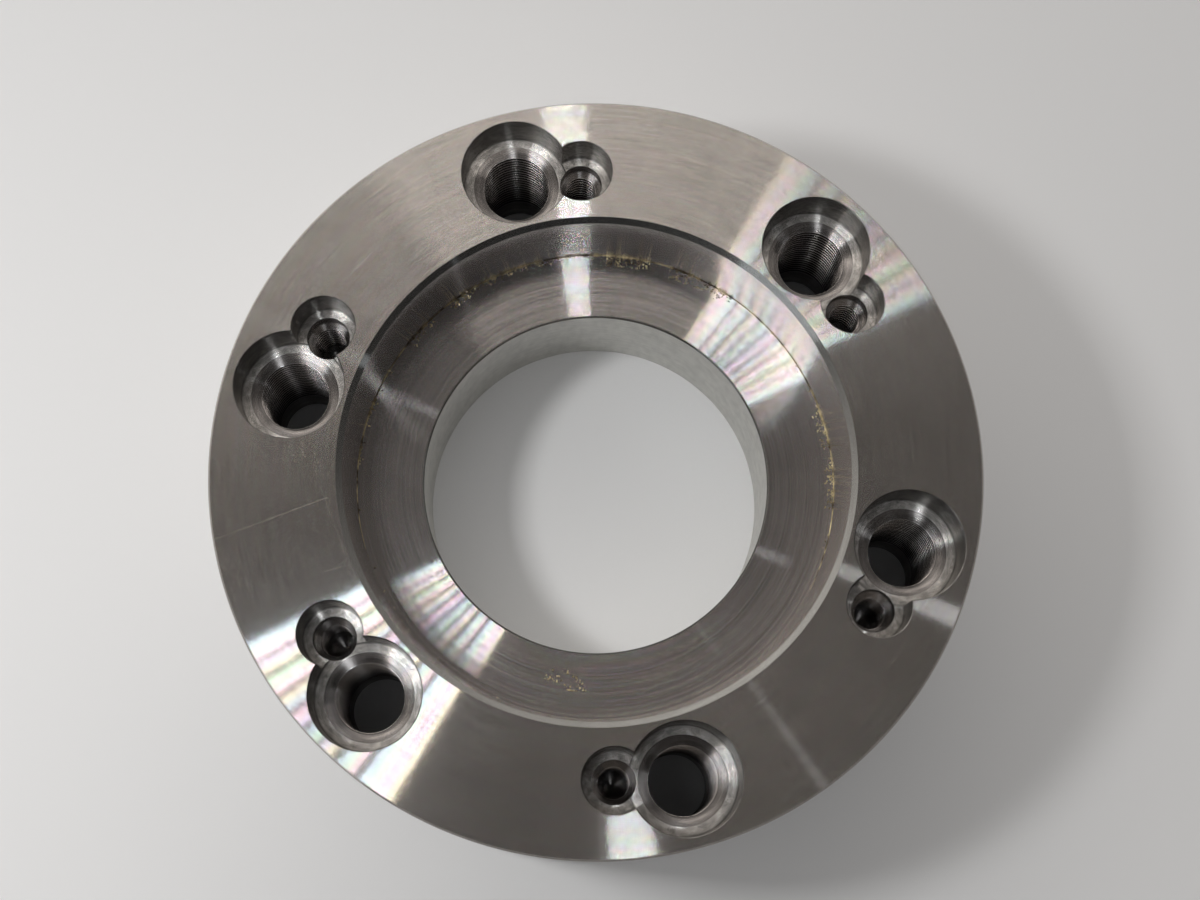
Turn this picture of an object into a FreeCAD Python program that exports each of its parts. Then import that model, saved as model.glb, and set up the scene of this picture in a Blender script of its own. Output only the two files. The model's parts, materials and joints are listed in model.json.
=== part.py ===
"""Chuck backplate for a short-taper cam-lock lathe spindle, turned from one piece of steel.

The plate lies chuck side down. Its axis is Z, the chuck side is the plane Z = 0, and the side that
meets the spindle, with the tapered recess and the six stud and lock screw holes, looks up.
The first stud hole lies on the +X axis. All lengths are in millimetres and all angles in degrees.
"""
import FreeCAD, Part
import math
import os

# Plate
plate_thickness = 45.0
rim_wall = 2.3                    # between the stud counterbores and the rim
rim_edge_break = 0.4

# Tapered recess that locates the plate on the spindle nose
taper_gauge_diameter = 106.375    # at the spindle face, before the mouth is chamfered
taper_half_angle = 7.125
taper_length = 13.7
mouth_chamfer_width = 1.2
mouth_chamfer_depth = 0.9
recess_depth = 18.0
root_relief = 0.35                # how far the recess widens again from the taper's end to its floor

# Through bore
bore_diameter = 74.5
bore_edge_break = 0.4

# Stud holes: counterbore, flat seat, countersink, then a tapped hole right through
stud_count = 6
stud_circle_diameter = 133.4
stud_counterbore_diameter = 23.0
stud_counterbore_depth = 9.2
stud_sink_diameter = 18.7
stud_sink_depth = 0.6
stud_tap_drill_diameter = 14.4
stud_back_edge_break = 0.5

# Lock screw holes: counterbore, clearance hole, then a blind tapped hole
lock_circle_inset = 1.9           # how far the lock screw holes lie inside the stud circle
lock_turn_from_stud = 12.3        # clockwise from the stud hole, seen from the spindle side
lock_counterbore_diameter = 13.4
lock_counterbore_depth = 8.7
lock_clearance_diameter = 9.2
lock_clearance_depth = 3.2
lock_tap_drill_diameter = 6.6
lock_drill_depth = 30.0           # from the spindle face to the end of the full diameter
drill_point_angle = 118.0

hole_edge_break = 0.2
overshoot = 1.0                   # how far a cutting shape stands clear of the face it enters

# Worked out from the sizes above
outer_diameter = stud_circle_diameter + stud_counterbore_diameter + 2 * rim_wall
lock_circle_diameter = stud_circle_diameter - 2 * lock_circle_inset


def turned(outline):
    """Solid of revolution about Z, from (radius, height) points in order round its half section."""
    points = [FreeCAD.Vector(radius, 0, height) for radius, height in outline]
    half_section = Part.Face(Part.makePolygon(points + [points[0]]))
    return half_section.revolve(FreeCAD.Vector(0, 0, 0), FreeCAD.Vector(0, 0, 1), 360)


def cone_depth(wide_radius, narrow_radius):
    """Depth of the cone that a drill point leaves between two radii."""
    return (wide_radius - narrow_radius) / math.tan(math.radians(drill_point_angle / 2))


def plate_blank():
    """The turned plate: rim, both faces, tapered recess with its root relief, and the bore."""
    rim = outer_diameter / 2
    bore = bore_diameter / 2
    face = plate_thickness
    floor = face - recess_depth
    slope = math.tan(math.radians(taper_half_angle))
    taper_start = taper_gauge_diameter / 2 - mouth_chamfer_depth * slope
    taper_end = taper_gauge_diameter / 2 - taper_length * slope
    return turned([
        (bore + bore_edge_break, 0),
        (rim - rim_edge_break, 0),
        (rim, rim_edge_break),
        (rim, face - rim_edge_break),
        (rim - rim_edge_break, face),
        (taper_start + mouth_chamfer_width, face),
        (taper_start, face - mouth_chamfer_depth),
        (taper_end, face - taper_length),
        (taper_end + root_relief, floor),
        (bore + bore_edge_break, floor),
        (bore, floor - bore_edge_break),
        (bore, bore_edge_break),
    ])


def stud_hole():
    """Cutting shape of one stud hole, on the Z axis."""
    mouth = stud_counterbore_diameter / 2
    sink = stud_sink_diameter / 2
    drill = stud_tap_drill_diameter / 2
    face = plate_thickness
    seat = face - stud_counterbore_depth
    return turned([
        (0, -overshoot),
        (drill + stud_back_edge_break + overshoot, -overshoot),
        (drill, stud_back_edge_break),
        (drill, seat - stud_sink_depth),
        (sink, seat),
        (mouth, seat),
        (mouth, face - hole_edge_break),
        (mouth + hole_edge_break + overshoot, face + overshoot),
        (0, face + overshoot),
    ])


def lock_hole():
    """Cutting shape of one lock screw hole, on the Z axis."""
    mouth = lock_counterbore_diameter / 2
    clearance = lock_clearance_diameter / 2
    drill = lock_tap_drill_diameter / 2
    face = plate_thickness
    seat = face - lock_counterbore_depth
    shoulder = seat - lock_clearance_depth
    drill_end = face - lock_drill_depth
    return turned([
        (0, drill_end - cone_depth(drill, 0)),
        (drill, drill_end),
        (drill, shoulder - cone_depth(clearance, drill)),
        (clearance, shoulder),
        (clearance, seat),
        (mouth, seat),
        (mouth, face - hole_edge_break),
        (mouth + hole_edge_break + overshoot, face + overshoot),
        (0, face + overshoot),
    ])


def placed(shape, circle_diameter, angle):
    """Copy of a shape moved from the Z axis to a place on a circle."""
    turn = math.radians(angle)
    radius = circle_diameter / 2
    moved = shape.copy()
    moved.translate(FreeCAD.Vector(radius * math.cos(turn), radius * math.sin(turn), 0))
    return moved


def backplate():
    """The finished plate: the blank with its stud and lock screw holes in pairs."""
    stud = stud_hole()
    lock = lock_hole()
    cuts = []
    for number in range(stud_count):
        angle = number * 360.0 / stud_count
        cuts.append(placed(stud, stud_circle_diameter, angle))
        cuts.append(placed(lock, lock_circle_diameter, angle - lock_turn_from_stud))
    return plate_blank().cut(cuts).removeSplitter()


os.makedirs("parts", exist_ok=True)
plate = backplate()
if not plate.isValid() or len(plate.Solids) != 1:
    raise RuntimeError("the backplate isn't one valid solid")
plate.Solids[0].exportStep("parts/backplate.step")
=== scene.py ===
"""Looks of the turned steel chuck backplate: its threaded holes, machined finishes, light and camera."""

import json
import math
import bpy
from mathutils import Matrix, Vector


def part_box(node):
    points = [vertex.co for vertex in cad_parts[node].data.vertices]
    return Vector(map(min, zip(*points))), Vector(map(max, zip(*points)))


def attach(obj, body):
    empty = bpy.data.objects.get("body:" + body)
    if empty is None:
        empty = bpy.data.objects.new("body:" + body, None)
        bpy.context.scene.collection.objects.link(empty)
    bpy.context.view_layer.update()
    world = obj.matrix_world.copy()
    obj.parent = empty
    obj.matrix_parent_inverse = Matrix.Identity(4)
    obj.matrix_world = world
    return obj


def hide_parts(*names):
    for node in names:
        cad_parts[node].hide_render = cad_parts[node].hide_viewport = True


bl_info = {
    "name": "Turned Backplate",
    "version": (1, 0, 0),
    "blender": (4, 5, 0),
    "location": "View3D > Sidebar > Backplate",
    "description": "Dresses the packed chuck backplate with cut threads, turned finishes and studio light",
    "category": "Object",
}

import bpy
from bpy.props import FloatProperty, FloatVectorProperty, IntProperty, PointerProperty
from mathutils import Matrix, Vector

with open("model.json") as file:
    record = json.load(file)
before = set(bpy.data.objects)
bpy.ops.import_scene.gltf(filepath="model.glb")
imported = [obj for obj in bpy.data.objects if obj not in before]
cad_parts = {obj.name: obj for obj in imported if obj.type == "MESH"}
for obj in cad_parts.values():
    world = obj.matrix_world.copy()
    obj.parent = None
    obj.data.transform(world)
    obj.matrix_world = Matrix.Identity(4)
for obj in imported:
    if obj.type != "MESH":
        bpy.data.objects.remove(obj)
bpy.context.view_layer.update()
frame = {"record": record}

NODE = "backplate"
MM = 0.001
OVERSHOOT = 1.0 * MM              # how far a cutting shape stands clear of the face it enters
MERGE_DISTANCE = 0.002 * MM


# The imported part's own sizes

def packed_mount(name):
    """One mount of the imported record, by its name."""
    return next(mount for mount in frame["record"]["mounts"] if mount["name"] == name)


PLATE_LOW, PLATE_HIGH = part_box(NODE)
RIM_RADIUS = PLATE_HIGH.x
THICKNESS = PLATE_HIGH.z
BORE_RADIUS = packed_mount("bore")["dims"]["r_mm"] * MM
STUD_CIRCLE_RADIUS = packed_mount("stud_sockets")["dims"]["pcd_mm"] / 2 * MM
STUD_COUNT = packed_mount("stud_sockets")["dims"]["count"]
STUD_MOUTH_RADIUS = packed_mount("stud_sockets")["dims"]["hole_r_mm"] * MM
STUD_CREST_RADIUS = packed_mount("stud_threads")["dims"]["hole_r_mm"] * MM
LOCK_CIRCLE_RADIUS = packed_mount("lock_screws")["dims"]["pcd_mm"] / 2 * MM
LOCK_CLEARANCE_RADIUS = packed_mount("lock_screws")["dims"]["hole_r_mm"] * MM
LOCK_SEAT = packed_mount("lock_screws")["pos_m"][2]


# Sizes and colours that a user would change

def length(name, description, millimetres):
    """A length property, shown in the scene's units."""
    return FloatProperty(name=name, description=description, default=millimetres * MM,
                         min=0.0, precision=5, unit="LENGTH")


def linear(hex_colour):
    """Linear RGBA of an sRGB colour written as hex."""
    channels = [int(hex_colour[i:i + 2], 16) / 255 for i in (1, 3, 5)]
    return tuple(c / 12.92 if c <= 0.04045 else ((c + 0.055) / 1.055) ** 2.4 for c in channels) + (1.0,)


def colour(name, description, hex_colour):
    """A colour property with its default written as hex."""
    return FloatVectorProperty(name=name, description=description, subtype="COLOR", size=4,
                               min=0.0, max=1.0, default=linear(hex_colour))


class BackplateSizes(bpy.types.PropertyGroup):
    """Sizes of the turned form and its holes."""

    rim_edge_break: length("Rim edge break", "Chamfer round both edges of the rim", 0.4)
    gauge_radius: length("Taper gauge radius", "Radius of the taper at the spindle face", 53.1875)
    taper_length: length("Taper length", "Depth at which the taper ends", 13.7)
    recess_depth: length("Recess depth", "From the spindle face to the floor of the recess", 18.0)
    mouth_chamfer_width: length("Mouth chamfer width", "Radial width of the chamfer at the mouth", 1.2)
    mouth_chamfer_depth: length("Mouth chamfer depth", "Depth of the chamfer at the mouth", 0.9)
    root_relief: length("Root relief", "How far the recess widens again below the taper", 0.35)
    bore_edge_break: length("Bore edge break", "Chamfer at both ends of the bore", 0.4)
    stud_seat_depth: length("Stud counterbore depth", "From the spindle face to the stud's seat", 9.2)
    stud_sink_radius: length("Stud sink radius", "Outer radius of the shallow sink in the seat", 9.35)
    stud_sink_depth: length("Stud sink depth", "Depth of the shallow sink below the seat", 0.6)
    stud_root_radius: length("Stud thread root radius", "Largest radius of the stud thread", 7.94)
    stud_thread_end: length("Stud thread depth", "From the spindle face to the end of the thread", 37.6)
    stud_back_break: length("Stud hole back edge break", "Chamfer of the stud hole on the chuck side", 0.5)
    lock_mouth_radius: length("Lock counterbore radius", "Radius of the lock screw's counterbore", 6.7)
    lock_clearance_depth: length("Lock clearance depth", "Depth of the clearance hole below its seat", 3.2)
    lock_crest_radius: length("Lock thread crest radius", "Smallest radius of the lock thread", 3.3)
    lock_root_radius: length("Lock thread root radius", "Largest radius of the lock thread", 3.97)
    lock_thread_end: length("Lock thread depth", "From the spindle face to the end of the thread", 26.0)
    lock_drill_depth: length("Lock drill depth", "From the spindle face to the end of the drill's side", 30.0)
    hole_edge_break: length("Hole edge break", "Chamfer at the mouths of the holes", 0.2)
    thread_pitch: length("Thread pitch", "Pitch of both threads, 18 to the inch", 25.4 / 18)
    taper_half_angle: FloatProperty(name="Taper half angle", description="Slope of the taper from the axis",
                                    default=math.radians(7.125), subtype="ANGLE")
    lock_turn: FloatProperty(name="Lock turn", description="Turn from a stud hole to its lock hole",
                             default=math.radians(12.3), subtype="ANGLE")
    drill_half_angle: FloatProperty(name="Drill point half angle", description="Slope of a drill's point",
                                    default=math.radians(59.0), subtype="ANGLE")
    plate_segments: IntProperty(name="Plate segments", description="Sides of the turned circles", default=384)
    stud_segments: IntProperty(name="Stud segments", description="Sides of a stud hole", default=72)
    lock_segments: IntProperty(name="Lock segments", description="Sides of a lock screw hole", default=60)


class BackplateColours(bpy.types.PropertyGroup):
    """Colours of the machined steel and of the stage."""

    turned_steel: colour("Turned steel", "Finely turned faces", "#BDB7B1")
    recess_steel: colour("Recess steel", "Floor of the recess", "#BFB9B5")
    taper_steel: colour("Taper steel", "Tapered wall of the recess", "#CDC8C5")
    chamfer_steel: colour("Chamfer steel", "Chamfer at the mouth of the recess", "#868582")
    bored_steel: colour("Bored steel", "Matte wall of the bore", "#CFCEC9")
    milled_steel: colour("Milled steel", "Counterbores and seats", "#ABA7A2")
    tapped_steel: colour("Tapped steel", "Threads and drilled walls", "#A8A29E")
    oil_light: colour("Dried oil, thin", "Thin flakes and edges of the dried oil", "#DCCB9E")
    oil_dark: colour("Dried oil, thick", "Thick places of the dried oil", "#43351F")
    floor_cover: colour("Floor", "Pale floor under the plate", "#DADADA")


# Building blocks for node trees

def add(tree, kind, inputs=None, **settings):
    """Add a node, apply its settings, and set or link its inputs by name or number."""
    made = tree.nodes.new(kind)
    for key, value in settings.items():
        setattr(made, key, value)
    for key, value in (inputs or {}).items():
        if isinstance(value, bpy.types.NodeSocket):
            tree.links.new(value, made.inputs[key])
        else:
            made.inputs[key].default_value = value
    return made


def maths(tree, operation, *values):
    """Result of one math node on sockets or numbers."""
    return add(tree, "ShaderNodeMath", dict(enumerate(values)), operation=operation).outputs[0]


def tree_input(tree, name, socket_type, default=None):
    """Declare one named input of a geometry tree."""
    socket = tree.interface.new_socket(name=name, in_out="INPUT", socket_type=socket_type)
    if default is not None:
        socket.default_value = default
    return socket


# The turned and threaded forms

ROOT_FLAT = 0.125                 # flat at the bottom of a sixty-degree thread, as a share of the pitch
CREST_FLAT = 0.25                 # flat on its crest
RUN_OUT_TURNS = 2.5               # turns over which a thread fades out at its end
SHARP_ANGLE = math.radians(28.0)  # between two faces, from which their edge is drawn sharp
FLAT_LOOK = 0.9                   # upward part of a face's direction, from which it counts as level
FACE_TOLERANCE = 0.05 * MM


def turned_form_tree():
    """Geometry tree that turns a section about Z, with its marked rows cut as a thread."""
    tree = bpy.data.node_groups.new("Turned form", "GeometryNodeTree")
    tree_input(tree, "Section", "NodeSocketGeometry")
    tree_input(tree, "Segments", "NodeSocketInt", 72)
    tree_input(tree, "Pitch", "NodeSocketFloat", 1.0)
    tree_input(tree, "Thread bottom", "NodeSocketFloat", 0.0)
    tree_input(tree, "Thread top", "NodeSocketFloat", 0.0)
    tree_input(tree, "Crest radius", "NodeSocketFloat", 0.0)
    tree_input(tree, "Root radius", "NodeSocketFloat", 0.0)
    tree.interface.new_socket(name="Form", in_out="OUTPUT", socket_type="NodeSocketGeometry")
    given = add(tree, "NodeGroupInput").outputs

    section_size = add(tree, "GeometryNodeAttributeDomainSize", {"Geometry": given["Section"]})
    rows = section_size.outputs["Point Count"]
    columns = maths(tree, "ADD", given["Segments"], 1)
    grid = add(tree, "GeometryNodeMeshGrid",
               {"Size X": 1.0, "Size Y": 1.0, "Vertices X": rows, "Vertices Y": columns})
    spot = add(tree, "ShaderNodeSeparateXYZ", {0: add(tree, "GeometryNodeInputPosition").outputs[0]})
    last_row = maths(tree, "SUBTRACT", rows, 1)
    row = maths(tree, "ROUND", maths(tree, "MULTIPLY", maths(tree, "ADD", spot.outputs[0], 0.5), last_row))
    turn_share = maths(tree, "ADD", spot.outputs[1], 0.5)

    point = add(tree, "GeometryNodeSampleIndex",
                {"Geometry": given["Section"], "Value": add(tree, "GeometryNodeInputPosition").outputs[0],
                 "Index": row}, data_type="FLOAT_VECTOR").outputs["Value"]
    marked = add(tree, "GeometryNodeInputNamedAttribute", {"Name": "threaded"}, data_type="FLOAT")
    threaded = add(tree, "GeometryNodeSampleIndex",
                   {"Geometry": given["Section"], "Value": marked.outputs["Attribute"], "Index": row},
                   data_type="FLOAT").outputs["Value"]
    section = add(tree, "ShaderNodeSeparateXYZ", {0: point})
    radius, height = section.outputs[0], section.outputs[2]

    lead = maths(tree, "MULTIPLY", given["Pitch"], turn_share)
    wound = add(tree, "ShaderNodeClamp", {"Value": maths(tree, "ADD", height, lead),
                                          "Min": given["Thread bottom"], "Max": given["Thread top"]})
    turns_up = maths(tree, "DIVIDE", maths(tree, "SUBTRACT", wound.outputs[0], lead), given["Pitch"])
    from_root = maths(tree, "MULTIPLY", maths(tree, "PINGPONG", turns_up, 0.5), given["Pitch"])
    run_in = maths(tree, "SUBTRACT", wound.outputs[0], given["Thread bottom"])
    fade = ranged(tree, run_in, 0.0, maths(tree, "MULTIPLY", given["Pitch"], RUN_OUT_TURNS), 0.0, 1.0)
    root_edge = maths(tree, "MULTIPLY", given["Pitch"], ROOT_FLAT / 2)
    crest_edge = maths(tree, "MULTIPLY", given["Pitch"], 0.5 - CREST_FLAT / 2)
    flank = ranged(tree, from_root, root_edge, crest_edge, 1.0, 0.0)
    depth = maths(tree, "SUBTRACT", given["Root radius"], given["Crest radius"])
    cut = maths(tree, "MULTIPLY", maths(tree, "MULTIPLY", flank, fade), depth)
    thread_radius = maths(tree, "ADD", given["Crest radius"], cut)

    pick = {0: threaded}
    final_radius = add(tree, "ShaderNodeMix", {**pick, 2: radius, 3: thread_radius}).outputs[0]
    final_height = add(tree, "ShaderNodeMix", {**pick, 2: height, 3: wound.outputs[0]}).outputs[0]
    angle = maths(tree, "MULTIPLY", turn_share, math.tau)
    place = add(tree, "ShaderNodeCombineXYZ",
                {0: maths(tree, "MULTIPLY", final_radius, maths(tree, "COSINE", angle)),
                 1: maths(tree, "MULTIPLY", final_radius, maths(tree, "SINE", angle)),
                 2: final_height})
    turned = add(tree, "GeometryNodeSetPosition",
                 {"Geometry": grid.outputs["Mesh"], "Position": place.outputs[0]})
    closed = add(tree, "GeometryNodeMergeByDistance",
                 {"Geometry": turned.outputs[0], "Distance": MERGE_DISTANCE})
    add(tree, "NodeGroupOutput", {"Form": closed.outputs[0]})
    return tree


def finish_steps(tree, shape, sizes, finishes):
    """Give each machined surface its finish, chosen by where the face lies and which way it looks."""
    centre = add(tree, "ShaderNodeSeparateXYZ", {0: add(tree, "GeometryNodeInputPosition").outputs[0]})
    look = add(tree, "ShaderNodeSeparateXYZ", {0: add(tree, "GeometryNodeInputNormal").outputs[0]})
    flat_spot = add(tree, "ShaderNodeCombineXYZ", {0: centre.outputs[0], 1: centre.outputs[1]})
    radius = vector(tree, "LENGTH", flat_spot.outputs[0], out=1)
    height, up = centre.outputs[2], look.outputs[2]

    def over(value, limit):
        return maths(tree, "GREATER_THAN", value, limit)

    def under(value, limit):
        return maths(tree, "LESS_THAN", value, limit)

    def both(*tests):
        result = tests[0]
        for test in tests[1:]:
            result = maths(tree, "MULTIPLY", result, test)
        return result

    mouth = sizes.gauge_radius + sizes.mouth_chamfer_width
    floor = THICKNESS - sizes.recess_depth
    outside_bore = over(radius, BORE_RADIUS + FACE_TOLERANCE)
    in_recess = under(radius, mouth)
    level = over(up, FLAT_LOOK)
    sloped = under(up, FLAT_LOOK)
    tests = {
        "turned_face": both(over(height, THICKNESS - FACE_TOLERANCE), level),
        "rim": over(radius, RIM_RADIUS - sizes.rim_edge_break - FACE_TOLERANCE),
        "back_face": under(up, -FLAT_LOOK),
        "recess_floor": both(level, in_recess, under(height, floor + FACE_TOLERANCE)),
        "taper_wall": both(in_recess, outside_bore, over(height, floor + FACE_TOLERANCE / 10), sloped),
        "mouth_chamfer": both(in_recess, sloped, over(height, THICKNESS - sizes.mouth_chamfer_depth)),
        "bore_wall": under(radius, BORE_RADIUS + sizes.bore_edge_break - FACE_TOLERANCE / 2),
        "bore_edge": both(outside_bore, under(radius, BORE_RADIUS + sizes.bore_edge_break),
                          over(height, floor - sizes.bore_edge_break)),
    }
    for name, test in tests.items():
        shape = add(tree, "GeometryNodeSetMaterial",
                    {"Geometry": shape, "Selection": test, "Material": finishes[name]}).outputs[0]
    return shape


def backplate_tree(sizes, finishes):
    """Geometry tree of the whole plate: the turned blank less six pairs of stud and lock screw holes."""
    turned_form = turned_form_tree()
    tree = bpy.data.node_groups.new("Backplate", "GeometryNodeTree")
    for name in ("Blank section", "Stud section", "Lock section"):
        tree_input(tree, name, "NodeSocketObject")
    tree_input(tree, "Stud count", "NodeSocketInt", STUD_COUNT)
    tree_input(tree, "Stud circle radius", "NodeSocketFloat", STUD_CIRCLE_RADIUS)
    tree_input(tree, "Lock circle radius", "NodeSocketFloat", LOCK_CIRCLE_RADIUS)
    tree_input(tree, "Lock turn", "NodeSocketFloat", 0.0)
    tree_input(tree, "Pitch", "NodeSocketFloat", 1.0)
    tree.interface.new_socket(name="Plate", in_out="OUTPUT", socket_type="NodeSocketGeometry")
    given = add(tree, "NodeGroupInput").outputs

    def form(section, segments, thread):
        shape = add(tree, "GeometryNodeObjectInfo", {"Object": given[section]}).outputs["Geometry"]
        group = tree.nodes.new("GeometryNodeGroup")
        group.node_tree = turned_form
        for key, value in {"Segments": segments, **thread}.items():
            group.inputs[key].default_value = value
        tree.links.new(shape, group.inputs["Section"])
        tree.links.new(given["Pitch"], group.inputs["Pitch"])
        return group.outputs["Form"]

    def pattern(shape, circle_radius, turn, seat, upper, lower):
        ring = add(tree, "GeometryNodeMeshCircle",
                   {"Vertices": given["Stud count"], "Radius": circle_radius}).outputs[0]
        spin = add(tree, "ShaderNodeCombineXYZ", {2: turn}).outputs[0]
        places = add(tree, "GeometryNodeTransform", {"Geometry": ring, "Rotation": spin}).outputs[0]
        spot = add(tree, "GeometryNodeInputPosition").outputs[0]
        height = add(tree, "ShaderNodeSeparateXYZ", {0: spot}).outputs[2]
        below = maths(tree, "LESS_THAN", height, seat - FACE_TOLERANCE)
        coated = add(tree, "GeometryNodeSetMaterial", {"Geometry": shape, "Material": upper}).outputs[0]
        coated = add(tree, "GeometryNodeSetMaterial",
                     {"Geometry": coated, "Selection": below, "Material": lower}).outputs[0]
        return add(tree, "GeometryNodeInstanceOnPoints", {"Points": places, "Instance": coated}).outputs[0]

    blank = form("Blank section", sizes.plate_segments, {})
    stud = form("Stud section", sizes.stud_segments,
                {"Thread bottom": THICKNESS - sizes.stud_thread_end,
                 "Thread top": THICKNESS - sizes.stud_seat_depth - sizes.stud_sink_depth,
                 "Crest radius": STUD_CREST_RADIUS, "Root radius": sizes.stud_root_radius})
    lock = form("Lock section", sizes.lock_segments,
                {"Thread bottom": THICKNESS - sizes.lock_thread_end,
                 "Thread top": lock_shoulder_end(sizes),
                 "Crest radius": sizes.lock_crest_radius, "Root radius": sizes.lock_root_radius})
    studs = pattern(stud, given["Stud circle radius"], 0.0, THICKNESS - sizes.stud_seat_depth,
                    finishes["stud_counterbore"], finishes["stud_thread"])
    locks = pattern(lock, given["Lock circle radius"], given["Lock turn"], LOCK_SEAT,
                    finishes["lock_counterbore"], finishes["lock_thread"])
    cutters = add(tree, "GeometryNodeJoinGeometry")
    tree.links.new(locks, cutters.inputs[0])
    tree.links.new(studs, cutters.inputs[0])
    base = add(tree, "GeometryNodeSetMaterial",
               {"Geometry": blank, "Material": finishes["turned_face"]}).outputs[0]
    plate = add(tree, "GeometryNodeMeshBoolean", {"Mesh 1": base, "Mesh 2": cutters.outputs[0]},
                operation="DIFFERENCE", solver="MANIFOLD").outputs["Mesh"]
    angle = add(tree, "GeometryNodeInputMeshEdgeAngle").outputs["Unsigned Angle"]
    sharp = maths(tree, "LESS_THAN", angle, SHARP_ANGLE)
    smooth = add(tree, "GeometryNodeSetShadeSmooth", {"Geometry": plate}).outputs[0]
    edged = add(tree, "GeometryNodeSetShadeSmooth", {"Geometry": smooth, "Shade Smooth": sharp},
                domain="EDGE").outputs[0]
    whole = add(tree, "GeometryNodeRealizeInstances", {"Geometry": edged}).outputs[0]
    add(tree, "NodeGroupOutput", {"Plate": finish_steps(tree, whole, sizes, finishes)})
    return tree


# Half sections of the blank and of the two kinds of hole

def blank_section(sizes):
    """Outline of the turned blank, as radius and height, all the way round from the rim's lower edge."""
    slope = math.tan(sizes.taper_half_angle)
    taper_start = sizes.gauge_radius - sizes.mouth_chamfer_depth * slope
    taper_end = sizes.gauge_radius - sizes.taper_length * slope
    floor = THICKNESS - sizes.recess_depth
    rim_break, bore_break = sizes.rim_edge_break, sizes.bore_edge_break
    return [
        (RIM_RADIUS, THICKNESS - rim_break),
        (RIM_RADIUS, rim_break),
        (RIM_RADIUS - rim_break, 0),
        (BORE_RADIUS + bore_break, 0),
        (BORE_RADIUS, bore_break),
        (BORE_RADIUS, floor - bore_break),
        (BORE_RADIUS + bore_break, floor),
        (taper_end + sizes.root_relief, floor),
        (taper_end, THICKNESS - sizes.taper_length),
        (taper_start, THICKNESS - sizes.mouth_chamfer_depth),
        (taper_start + sizes.mouth_chamfer_width, THICKNESS),
        (RIM_RADIUS - rim_break, THICKNESS),
        (RIM_RADIUS, THICKNESS - rim_break),
    ]


def corner_radius(sizes):
    """Radius of the corner between the recess floor and its wall."""
    return sizes.gauge_radius - sizes.taper_length * math.tan(sizes.taper_half_angle) + sizes.root_relief


def thread_rows(crest_radius, bottom, top, pitch):
    """Rows of a thread from its top down, one at each corner of its profile."""
    rows = []
    corners = (1 - ROOT_FLAT / 2, 0.5 + CREST_FLAT / 2, 0.5 - CREST_FLAT / 2, ROOT_FLAT / 2)
    first = math.ceil(top / pitch)
    last = math.floor(bottom / pitch) - 1
    for turn in range(first, last - 1, -1):
        for corner in corners:
            rows.append((crest_radius, (turn + corner) * pitch, 1.0))
    return rows


def lock_shoulder_end(sizes):
    """Height at which the lock hole's thread starts, below the drill-point shoulder."""
    shoulder = LOCK_SEAT - sizes.lock_clearance_depth
    return shoulder - (LOCK_CLEARANCE_RADIUS - sizes.lock_crest_radius) / math.tan(sizes.drill_half_angle)


def stud_section(sizes):
    """Outline of a stud hole's cutting shape, from its top down: radius, height and thread mark."""
    edge = sizes.hole_edge_break
    seat = THICKNESS - sizes.stud_seat_depth
    sink_floor = seat - sizes.stud_sink_depth
    thread_end = THICKNESS - sizes.stud_thread_end
    back = sizes.stud_back_break
    return [
        (0, THICKNESS + OVERSHOOT, 0),
        (STUD_MOUTH_RADIUS + edge + OVERSHOOT, THICKNESS + OVERSHOOT, 0),
        (STUD_MOUTH_RADIUS, THICKNESS - edge, 0),
        (STUD_MOUTH_RADIUS, seat, 0),
        (sizes.stud_sink_radius, seat, 0),
        *thread_rows(STUD_CREST_RADIUS, thread_end, sink_floor, sizes.thread_pitch),
        (STUD_CREST_RADIUS, back, 0),
        (STUD_CREST_RADIUS + back + OVERSHOOT, -OVERSHOOT, 0),
        (0, -OVERSHOOT, 0),
    ]


def lock_section(sizes):
    """Outline of a lock screw hole's cutting shape, from its top down."""
    edge = sizes.hole_edge_break
    shoulder = LOCK_SEAT - sizes.lock_clearance_depth
    drill_end = THICKNESS - sizes.lock_drill_depth
    thread_end = THICKNESS - sizes.lock_thread_end
    tip = drill_end - sizes.lock_crest_radius / math.tan(sizes.drill_half_angle)
    return [
        (0, THICKNESS + OVERSHOOT, 0),
        (sizes.lock_mouth_radius + edge + OVERSHOOT, THICKNESS + OVERSHOOT, 0),
        (sizes.lock_mouth_radius, THICKNESS - edge, 0),
        (sizes.lock_mouth_radius, LOCK_SEAT, 0),
        (LOCK_CLEARANCE_RADIUS, LOCK_SEAT, 0),
        (LOCK_CLEARANCE_RADIUS, shoulder, 0),
        *thread_rows(sizes.lock_crest_radius, thread_end, lock_shoulder_end(sizes), sizes.thread_pitch),
        (sizes.lock_crest_radius, drill_end, 0),
        (0, tip, 0),
    ]


def linked(name, data):
    """New object of some data, linked into the scene."""
    made = bpy.data.objects.new(name, data)
    bpy.context.scene.collection.objects.link(made)
    return made


def section_object(name, rows):
    """A line of points in the XZ plane that carries an outline into the geometry tree."""
    mesh = bpy.data.meshes.new(name)
    mesh.from_pydata([(row[0], 0, row[1]) for row in rows], [(i, i + 1) for i in range(len(rows) - 1)], [])
    marks = mesh.attributes.new("threaded", "FLOAT", "POINT")
    for index, row in enumerate(rows):
        marks.data[index].value = row[2] if len(row) > 2 else 0.0
    return linked(name, mesh)


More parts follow.
